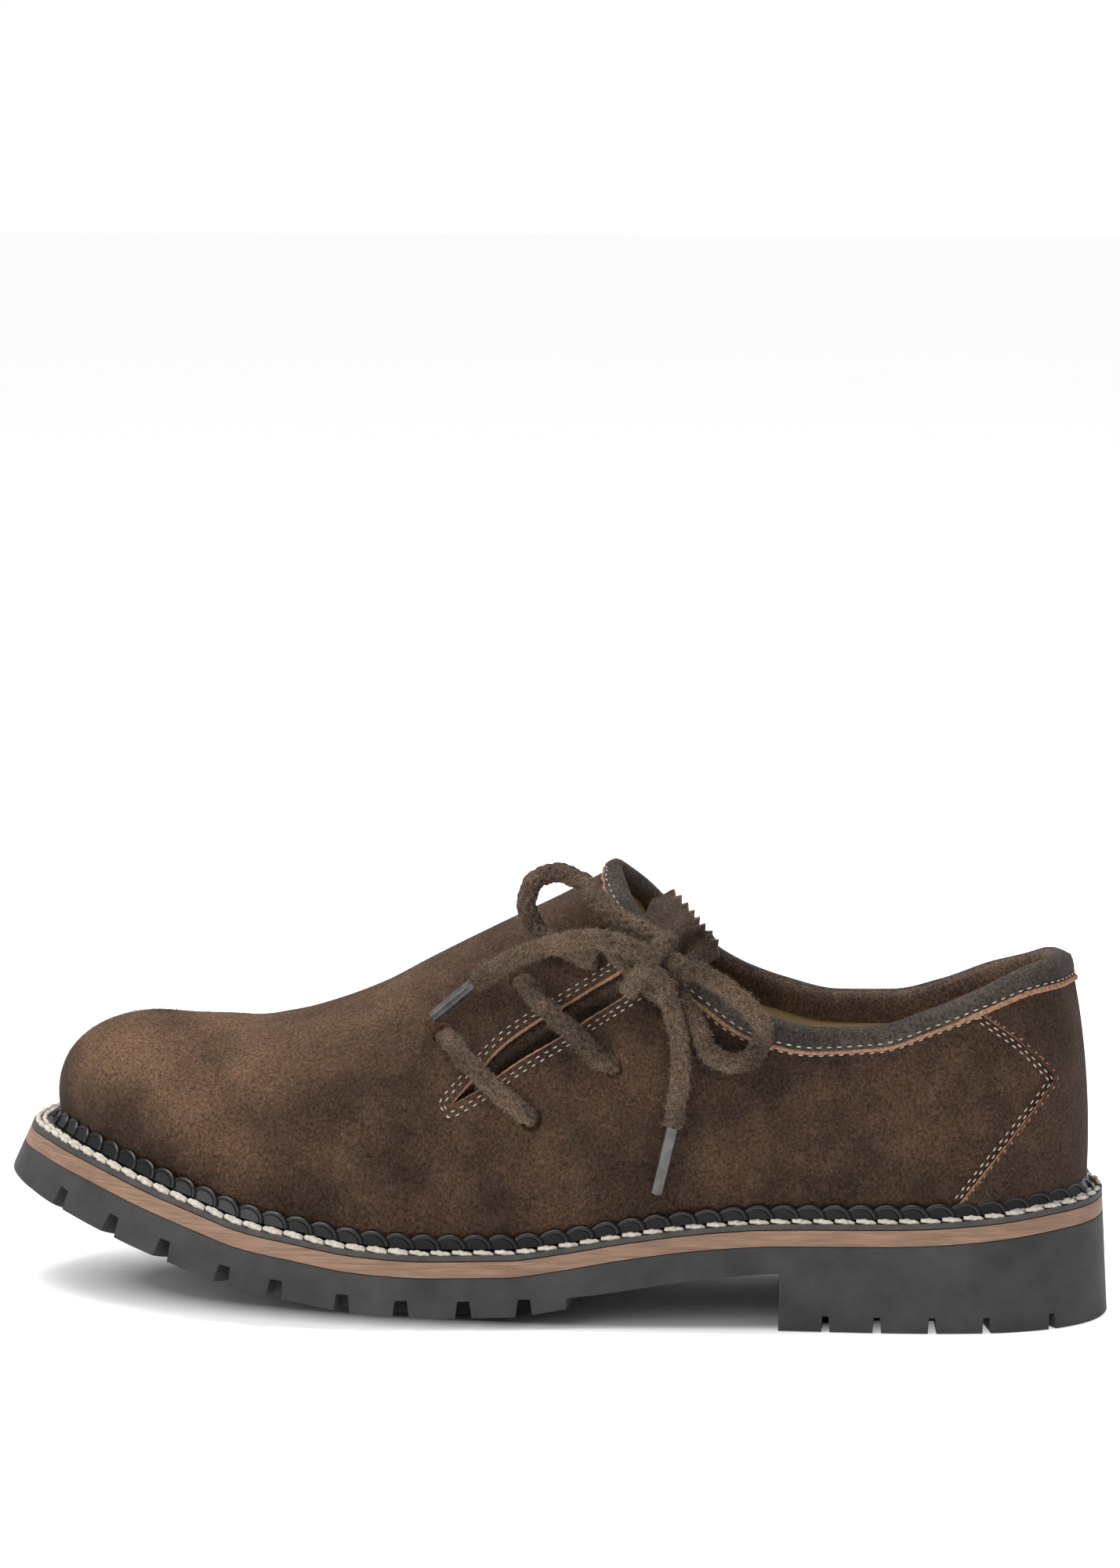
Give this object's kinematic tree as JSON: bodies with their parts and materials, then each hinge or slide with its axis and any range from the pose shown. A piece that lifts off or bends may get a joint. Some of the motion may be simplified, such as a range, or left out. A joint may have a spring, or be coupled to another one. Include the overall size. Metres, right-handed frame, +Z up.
{
  "type": "side-laced shoe",
  "caption": "Low traditional leather shoe, laced on its outer side, with a welted sole and a lugged rubber outsole.",
  "frame": {"origin": "on the floor, under the middle of the whole shoe's bounding box without the bow", "axes": "+X towards the heel, -X towards the toe, -Y the outer laced side, +Y the inner side, +Z up"},
  "size_m": [0.3062, 0.1059, 0.1219],
  "materials": {
    "rubber": "matt with a fine texture",
    "sole_leather": "smooth cut edge",
    "welt_leather": "smooth",
    "braid": "glossy",
    "insole_leather": "smooth",
    "suede": "waxed nap",
    "trim_suede": "nap",
    "lace": "braided, fuzzy",
    "aglet": "clear sleeve"
  },
  "bodies": {
    "root": {"outsole": "rubber", "midsole": "sole_leather", "welt": "welt_leather", "welt_braid": "braid", "insole": "insole_leather", "upper": "suede", "collar_band": "trim_suede", "heel_counter": "suede", "tongue": "trim_suede", "lace_bar_1": "lace", "lace_bar_2": "lace", "lace_bar_3": "lace", "lace_knot": "lace", "lace_loop_left": "lace", "lace_loop_right": "lace", "lace_end_left": "lace", "lace_end_right": "lace", "aglet_left": "aglet", "aglet_right": "aglet"}
  },
  "joints": []
}
